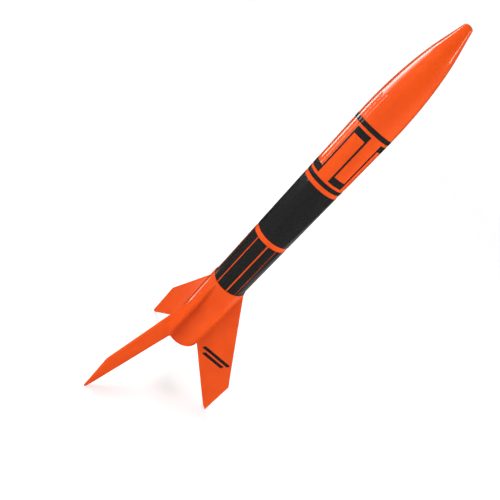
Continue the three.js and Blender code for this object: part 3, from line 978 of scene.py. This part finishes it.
def make_thrust_ring():
    _, outer, low, high = span("thrust_ring")
    ring = lathe("thrust_ring_card", ring_outline(7.9, outer, low, high, 0.15), [GREEN_CARD])
    place(ring, AIRFRAME, "green_paper", "thrust_ring")


def make_hook():
    """Spring strip: a tab in front of the engine, a long flat run, and a tab and finger lip behind it."""
    half = HOOK_THICK / 2
    reach, outside = 7.6, 9.35 + 0.05 + half
    front, rear = CASE_TOP + 0.9 - half, CASE_LOW - 0.35 - half
    corners = [
        (reach, front),
        (outside, front),
        (outside, rear),
        (reach + 0.2, rear),
        (reach + 1.6, rear - 4),
    ]
    path = rounded(corners, [0, 0.45, 0.6, 0.35, 0], 6, closed=False)
    middle = [(outside, front + (rear - front) * i / 12) for i in range(1, 12)]
    cut = next(i for i, p in enumerate(path) if p[1] < front - 1)
    path = path[:cut] + middle + path[cut:]
    hook = strip("spring_hook", path, 2 * HOOK_HALF, HOOK_THICK, HOOK_ANGLE, 0.12, [STEEL])
    place(hook, HOOK, "spring_steel", "engine_hook")


# ---------------------------------------------------------------- engine
CHARGE_R = CASE_IN - 0.05


def make_engine():
    case = lathe("case", ring_outline(CASE_IN, CASE_R, CASE_LOW, CASE_TOP, 0.3), [CASE], even_angles(96))
    place(case, AIRFRAME, "engine_paper", "engine_case")

    _, _, low, high = span("engine_nozzle")
    throat, mouth, throat_z = 1.5, 3.4, low + 3.2
    flare = [(throat + (mouth - throat) * (1 - math.cos(t)), throat_z - (throat_z - low) * math.sin(t))
             for t in (i / 8 * math.pi / 2 for i in range(9))]
    outline = flare + rounded([(mouth, low), (CHARGE_R, low), (CHARGE_R, high), (throat, high)],
                              [0, 0.25, 0.1, 0.15], 3, closed=False)[1:]
    nozzle = lathe("nozzle", outline, [CLAY], even_angles(96))
    place(nozzle, AIRFRAME, "clay", "engine_nozzle")

    for node, slot, material, dish in (
        ("propellant_grain", "black_powder", POWDER, 0.0),
        ("delay_charge", "delay_mix", DELAY, 0.0),
        ("ejection_charge", "black_powder", POWDER, 0.0),
        ("engine_cap", "clay", CLAY, 0.35),
    ):
        _, _, low, high = span(node)
        outline = rounded([(0, low), (CHARGE_R, low), (CHARGE_R, high), (CHARGE_R - 0.9, high),
                           (0, high - dish)], [0, 0.12, 0.2, 0.8, 0], 4, closed=False)
        charge = lathe(node + "_pressed", outline, [material], even_angles(72), closed=False)
        place(charge, AIRFRAME, slot, node)


# ---------------------------------------------------------------- recovery gear
PAD_HALF = 27
PAD_LAYERS = 3
CORD_WIDTH, CORD_THICK = 3.2, 0.9
CORD_FOLDS = 13
CORD_PITCH = 1.6
CORD_REACH = 7.6


def wrapped_plate(half_angle, low, high, inner, outer, corner, name, material):
    """A plate bent to the tube's wall round azimuth 0, with round corners."""
    columns = 36
    verts, faces = [], []
    half_width = math.radians(half_angle) * outer
    for i in range(columns + 1):
        a = math.radians(half_angle * math.sin((i / columns - 0.5) * math.pi))
        to_edge = max(half_width - abs(a) * outer, 0.0)
        drop = corner - math.sqrt(max(corner ** 2 - (corner - min(to_edge, corner)) ** 2, 0.0))
        for r in (inner, outer):
            for z in (low + drop, high - drop):
                verts.append((r * math.cos(a), r * math.sin(a), z))
    for i in range(columns):
        a, b = 4 * i, 4 * i + 4
        faces += [[a, b, b + 1, a + 1], [a + 2, a + 3, b + 3, b + 2],
                  [a, a + 2, b + 2, b], [a + 1, b + 1, b + 3, a + 3]]
    faces += [[0, 1, 3, 2], [4 * columns + k for k in (0, 2, 3, 1)]]
    return new_object(name, verts, faces, [material])


def make_cord_mount():
    """Paper folded twice over the cord's end and glued to the wall."""
    _, _, low, high = span("shock_cord_mount")
    outer = TUBE_IN - 0.05
    inner = outer - 0.6
    layer = (outer - inner) / PAD_LAYERS
    pads = []
    for i in range(PAD_LAYERS):
        shorter = 0.25 * i
        pads.append(wrapped_plate(PAD_HALF - 0.6 * i, low + shorter, high - shorter,
                                  outer - layer * (i + 1) + 0.02, outer - layer * i, 0.8, f"pad_{i}", CARD))
    place(joined("cord_mount_pad", pads), AIRFRAME, "white_paper", "shock_cord_mount")


def cord_points():
    """The cord's middle line as in the design: down from the pad, up through the folds, up the far wall
    and through the eyelet. Returns the fixed run and the run that stretches."""
    _, _, low, _ = span("shock_cord")
    low += CORD_THICK / 2
    wall = TUBE_IN - 0.65 - 0.15 - CORD_THICK / 2
    _, _, pad_low, _ = span("shock_cord_mount")
    down = [(wall, pad_low + 14 - (pad_low + 10 - low) * i / 10) for i in range(11)]
    fixed = down[:-1] + rounded([down[-1], (wall, low), (wall - 3.2, low)], 2.2, 6, closed=False)[1:]
    turn_r = CORD_PITCH / 2
    moving = [fixed[-1]]
    for i in range(CORD_FOLDS):
        side = -1 if i % 2 == 0 else 1
        z = low + i * CORD_PITCH
        start = moving[-1][0]
        last = i == CORD_FOLDS - 1
        end = side * CORD_REACH
        moving += [(start + (end - start) * k / 6, z) for k in range(1, 7)]
        if not last:
            moving += [(side * (CORD_REACH + turn_r * math.sin(t)), z + turn_r * (1 - math.cos(t)))
                       for t in (k / 8 * math.pi for k in range(1, 9))]
    top = low + (CORD_FOLDS - 1) * CORD_PITCH
    through = EYELET_Z - 0.9
    rise = rounded([moving[-1], (-wall, top), (-wall, through), (3.6, through)], [0, 2.4, 2.6, 0], 8,
                   closed=False)
    corner = next(i for i, p in enumerate(rise) if p[1] > top + 3)
    straight = [(-wall, top + 3 + (through - top - 6) * k / 16) for k in range(1, 16)]
    rise = rise[:corner] + straight + rise[corner:]
    return fixed, moving + rise[1:], low, top


def make_shock_cord():
    fixed, moving, low, top = cord_points()
    held = strip("shock_cord_fixed_run", fixed, CORD_WIDTH, CORD_THICK, 0, 0.3, [ELASTIC])
    place(held, AIRFRAME, "elastic", "shock_cord")
    free = strip("shock_cord_free_run", moving, CORD_WIDTH, CORD_THICK, 0, 0.3, [ELASTIC])
    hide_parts("shock_cord")
    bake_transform(free)


CANOPY_PITCH = 0.185
CANOPY_CORE = 0.9
ROLL_SEGMENTS = 36


def make_canopy():
    """A six-sided plastic canopy, folded to a strip and rolled up, with pleats on the outside."""
    _, outer, low, high = span("parachute_canopy")
    rows = 11
    turns = (outer - 0.1 - CANOPY_CORE) / CANOPY_PITCH
    count = int(turns * ROLL_SEGMENTS)
    grid = []
    for i in range(count + 1):
        turn = i / ROLL_SEGMENTS
        a = 2 * math.pi * turn
        r = CANOPY_CORE + CANOPY_PITCH * turn
        share = r / outer
        end = 1.0 + 3.2 * max(0.0, (share - 0.6) / 0.4) ** 2
        ragged = noise.noise(Vector((math.cos(a) * 1.3, math.sin(a) * 1.3, turn * 0.8)))
        bottom, top = low + end + 0.5 + 0.5 * ragged, high - end - 0.5 - 0.5 * ragged
        row = []
        for k in range(rows):
            v = k / (rows - 1)
            z = bottom + (top - bottom) * v
            pleat = 0.5 + 0.5 * math.sin(7 * a + 1.6 * math.sin(z / 7) + 0.6)
            crease = noise.noise(Vector((math.cos(a) * 2.4, math.sin(a) * 2.4, z * 0.16)))
            squeeze = 1 - share * (0.05 * pleat + 0.045 * max(0.0, crease))
            waist = 1 - 0.06 * share * math.exp(-((z - 192) / 9) ** 2)
            row.append((r * squeeze * waist * math.cos(a), r * squeeze * waist * math.sin(a), z))
        grid.append(row)
    canopy = thin_sheet("rolled_canopy", grid, 0.06, [FILM])
    place(canopy, NOSE, "canopy_film", "parachute_canopy")


LINE_R = 0.25
LINE_TURNS = 28


def make_shroud_lines():
    """The lines, wound round the rolled canopy, then led up and looped through the eyelet."""
    _, outer, low, high = span("shroud_lines")
    r = outer - LINE_R
    steps = 40
    points = []
    for i in range(LINE_TURNS * steps + 1):
        turn = i / steps
        a = 2 * math.pi * turn + math.radians(70)
        z = low + LINE_R + (high - low - 2 * LINE_R) * turn / LINE_TURNS
        points.append((r * math.cos(a), r * math.sin(a), z))
    parts = [thread_tube("winding", points, LINE_R, 6, [THREAD])]
    _, _, _, bundle_top = span("parachute_canopy")
    eyelet_low = EYELET_Z - EYELET_R
    knot_z = bundle_top + 1.6
    for i in range(6):
        a = math.radians(52 + 7 * i)
        start = (r * math.cos(a), r * math.sin(a), high - 0.6)
        corners = [start, (start[0], start[1], bundle_top - 4.5),
                   (start[0] * 0.72, start[1] * 0.72, bundle_top),
                   (0.25 * math.cos(i), 0.35 * math.sin(i), knot_z)]
        path = []
        for k in range(21):
            t = k / 20
            weights = ((1 - t) ** 3, 3 * t * (1 - t) ** 2, 3 * t * t * (1 - t), t ** 3)
            path.append(tuple(sum(w * c[axis] for w, c in zip(weights, corners)) for axis in range(3)))
        parts.append(thread_tube(f"riser_{i}", path, LINE_R, 6, [THREAD]))
    for i in range(3):
        y = (i - 1) * 0.5
        loop = [(1.1 * math.cos(t), y + 0.1 * math.sin(t), eyelet_low + 1.1 * math.sin(t))
                for t in (k / 24 * 2 * math.pi for k in range(24))]
        parts.append(thread_tube(f"loop_{i}", loop, LINE_R, 6, [THREAD], closed=True))
    knot = []
    for k in range(40):
        t = 2 * math.pi * k / 40
        knot.append((0.55 * math.sin(2 * t), 0.55 * math.cos(3 * t), knot_z + 0.2 + 0.4 * math.sin(3 * t)))
    parts.append(thread_tube("knot", knot, LINE_R, 6, [THREAD], closed=True))
    place(joined("shroud_lines_wound", parts), NOSE, "thread", "shroud_lines")


WADDING_LAYERS = 32


def make_wadding(number):
    """A square of tissue, folded to and fro and crumpled to fill the tube."""
    node = f"wadding_sheet_{number}"
    _, outer, low, high = span(node)
    reach = outer - 1.1
    bottom, top = low + 0.5, high - 0.7
    pitch = (top - bottom) / (WADDING_LAYERS - 1)
    across, turn_steps, cols = 12, 4, 11
    middle = []
    for i in range(WADDING_LAYERS):
        side = -1 if i % 2 == 0 else 1
        z = bottom + i * pitch
        share = (z - bottom) / (top - bottom)
        size = reach * (1 - 0.12 * (2 * share - 1) ** 4)
        middle += [(-side * size + 2 * side * size * k / across, z, size) for k in range(across + 1)]
        if i < WADDING_LAYERS - 1:
            for k in range(1, turn_steps):
                t = k / turn_steps * math.pi
                out, up = pitch / 2 * math.sin(t), pitch / 2 * (1 - math.cos(t))
                middle.append((side * (size + out), z + up, size))
    sheet_angle = math.radians(55 * number)
    grid = []
    for x, z, size in middle:
        half = math.sqrt(max(reach ** 2 - min(abs(x), reach) ** 2, (0.32 * reach) ** 2))
        row = []
        for k in range(cols):
            y = half * (2 * k / (cols - 1) - 1)
            place_in = Vector((x, y, z)) * 0.16 + Vector((7.0 * number, 0, 0))
            push = noise.noise_vector(place_in)
            fine = noise.noise_vector(place_in * 3.1)
            calm = min(1.0, (z - low) / 1.6, (high - z) / 1.6)
            px = x + 0.9 * push.x + 0.25 * fine.x
            py = y + 0.9 * push.y + 0.25 * fine.y
            pz = z + calm * (0.7 * push.z + 0.15 * fine.z)
            limit = min(1.0, outer / max(math.hypot(px, py), 1e-6))
            px, py = px * limit, py * limit
            row.append(turned(px, py, pz, sheet_angle))
        grid.append(row)
    sheet = thin_sheet(f"wadding_crumpled_{number}", grid, 0.06, [WADDING])
    place(sheet, AIRFRAME, "wadding", node)


make_launch_lug()
make_engine_tube()
make_centering_rings()
make_retainer_band()
make_thrust_ring()
make_hook()
make_engine()
make_cord_mount()
make_shock_cord()
make_canopy()
make_shroud_lines()
for sheet_number in (1, 2, 3):
    make_wadding(sheet_number)


# ---------------------------------------------------------------- stage, lights and camera
def make_floor():
    half = 6000
    verts = [(-half, -half, 0), (half, -half, 0), (half, half, 0), (-half, half, 0)]
    floor = new_object("studio_floor", verts, [[0, 1, 2, 3]], [], smooth=False)
    m = Nodes("pale_floor")
    m.colour(m.mix(m.noise(3, 2), (0.9, 0.9, 0.9), (0.88, 0.88, 0.88)))
    m.set(Roughness=0.95, Specular_IOR_Level=0.05, Emission_Color=(1, 1, 1, 1), Emission_Strength=0.36)
    floor.data.materials.append(m.material)
    floor.location.z = FOOT_Z * MM
    floor.visible_glossy = False
    floor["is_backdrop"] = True


CAMERA_PLACE = Vector((0.10246, -0.21780, 0.26769))
CAMERA_LOOK = (114.888, -22.861)  # azimuth and elevation of the view in degrees
CAMERA_ROLL = 43.369
CAMERA_LENS = 29.835
CAMERA_SHIFT = (-0.0726, -0.0512)
CAMERA_AZIMUTH = -64.81


def make_camera():
    data = bpy.data.cameras.new("camera")
    data.sensor_width = 36
    data.lens = CAMERA_LENS
    data.shift_x, data.shift_y = CAMERA_SHIFT
    data.clip_start = 0.01
    camera = bpy.data.objects.new("camera", data)
    bpy.context.scene.collection.objects.link(camera)
    a, e = (math.radians(x) for x in CAMERA_LOOK)
    look = Vector((math.cos(e) * math.cos(a), math.cos(e) * math.sin(a), math.sin(e)))
    side = look.cross(Vector((0, 0, 1))).normalized()
    up = side.cross(look)
    roll = math.radians(CAMERA_ROLL)
    right = side * math.cos(roll) + up * math.sin(roll)
    top = up * math.cos(roll) - side * math.sin(roll)
    camera.matrix_world = Matrix((right, top, -look)).transposed().to_4x4()
    camera.location = CAMERA_PLACE
    bpy.context.scene.camera = camera


WORLD_LOW, WORLD_HIGH = 1.02, 0.1


def make_world():
    """A soft dome, white at the horizon and dimmer overhead."""
    world = bpy.data.worlds.new("studio")
    world.use_nodes = True
    tree = world.node_tree
    split = tree.nodes.new("ShaderNodeSeparateXYZ")
    tree.links.new(tree.nodes.new("ShaderNodeTexCoord").outputs["Generated"], split.inputs[0])
    fade = tree.nodes.new("ShaderNodeMapRange")
    fade.interpolation_type = "SMOOTHSTEP"
    for key, value in (("From Min", 0.36), ("From Max", 0.7), ("To Min", WORLD_LOW), ("To Max", WORLD_HIGH)):
        fade.inputs[key].default_value = value
    tree.links.new(split.outputs["Z"], fade.inputs["Value"])
    tree.links.new(fade.outputs["Result"], tree.nodes["Background"].inputs["Strength"])
    tree.nodes["Background"].inputs["Color"].default_value = (1, 1, 1, 1)
    bpy.context.scene.world = world
    world.cycles_visibility.glossy = False


def rectangle_light(name, width, height, radiance):
    data = bpy.data.lights.new(name, "AREA")
    data.shape = "RECTANGLE"
    data.size, data.size_y = width, height
    data.energy = radiance * math.pi * width * height
    light = bpy.data.objects.new(name, data)
    bpy.context.scene.collection.objects.link(light)
    light.visible_camera = False
    return light


def area_light(name, azimuth, centre_z, distance, width, height, radiance, reflected=True):
    """An upright rectangle facing the rocket's axis. The azimuth is counted from the camera's side. A light
    is either only reflected or only lights the matt surfaces."""
    light = rectangle_light(name, width, height, radiance)
    a = math.radians(CAMERA_AZIMUTH + azimuth)
    light.location = (distance * math.cos(a), distance * math.sin(a), centre_z)
    light.rotation_euler = (math.pi / 2, 0, a + math.pi / 2)
    light.visible_diffuse = not reflected
    light.visible_glossy = reflected


def floor_card(name, azimuth, distance, facing, length, width, radiance):
    """A light lying on the floor and facing up, seen only in reflections; facing is its long side's way."""
    light = rectangle_light(name, length, width, radiance)
    a = math.radians(CAMERA_AZIMUTH + azimuth)
    light.location = (distance * math.cos(a), distance * math.sin(a), (FOOT_Z + 1) * MM)
    light.rotation_euler = (math.pi, 0, math.radians(CAMERA_AZIMUTH + facing))
    light.visible_diffuse = False


def make_flag(azimuth, distance, width, low, high):
    """A dark card that the camera and reflections don't see. It keeps the dome's light off one side."""
    half = width / 2
    verts = [(distance, y, z) for y, z in ((-half, low), (half, low), (half, high), (-half, high))]
    card = new_object("studio_flag", verts, [[0, 1, 2, 3]], [], smooth=False)
    m = Nodes("dark_card")
    m.colour(m.mix(m.noise(3, 2), (0.02, 0.02, 0.02), (0.015, 0.015, 0.015)))
    card.data.materials.append(m.material)
    card.rotation_euler.z = math.radians(CAMERA_AZIMUTH + azimuth)
    card.location.z = (FOOT_Z + 1) * MM
    card.visible_camera = False
    card.visible_glossy = False
    card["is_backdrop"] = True


def top_light(azimuth, elevation, strength, softness):
    """A broad light from above, which whitens the floor."""
    data = bpy.data.lights.new("top_light", "SUN")
    data.energy = strength
    data.angle = math.radians(softness)
    light = bpy.data.objects.new("top_light", data)
    bpy.context.scene.collection.objects.link(light)
    light.rotation_euler = (math.radians(90 - elevation), 0, math.radians(CAMERA_AZIMUTH + azimuth + 90))
    light.visible_glossy = False


make_floor()
make_camera()
make_world()
make_flag(16, 3500, 5000, 800, 5000)
bpy.context.scene.view_settings.view_transform = "Standard"
top_light(-100, 68, 1.3, 30)
area_light("key_left", -46, 0.75, 1.2, 0.5, 0.5, 8.5, reflected=False)
area_light("fill_right", 72, 0.3, 1.2, 0.5, 0.6, 1.6, reflected=False)
area_light("side_right", 100, 0.4, 1.2, 0.6, 0.6, 7, reflected=False)
area_light("streak_low", -120, 0.195, 0.8, 0.11, 0.21, 9)
area_light("streak_middle", -110, 0.46, 0.8, 0.33, 0.32, 7.5)
area_light("streak_top", -109, 0.69, 0.8, 0.20, 0.14, 8)
area_light("streak_soft", -92, 0.46, 0.8, 0.13, 0.32, 2.6)
area_light("streak_faint", -83, 0.46, 0.8, 0.13, 0.32, 0.8)
area_light("line_1", -91, 0.21, 0.8, 0.03, 0.24, 11)
area_light("line_2", -70.5, 0.21, 0.8, 0.03, 0.24, 9)
area_light("edge_right", 92, 0.745, 0.8, 0.10, 0.21, 9)
floor_card("sleeve_line", -114, 0.121, -121, 0.1, 0.008, 6)
floor_card("sheen_right", 152, 0.55, 152, 0.9, 0.36, 0.22)

[[list(map(float, c)) for c in b] for b in (cad_box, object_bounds())]
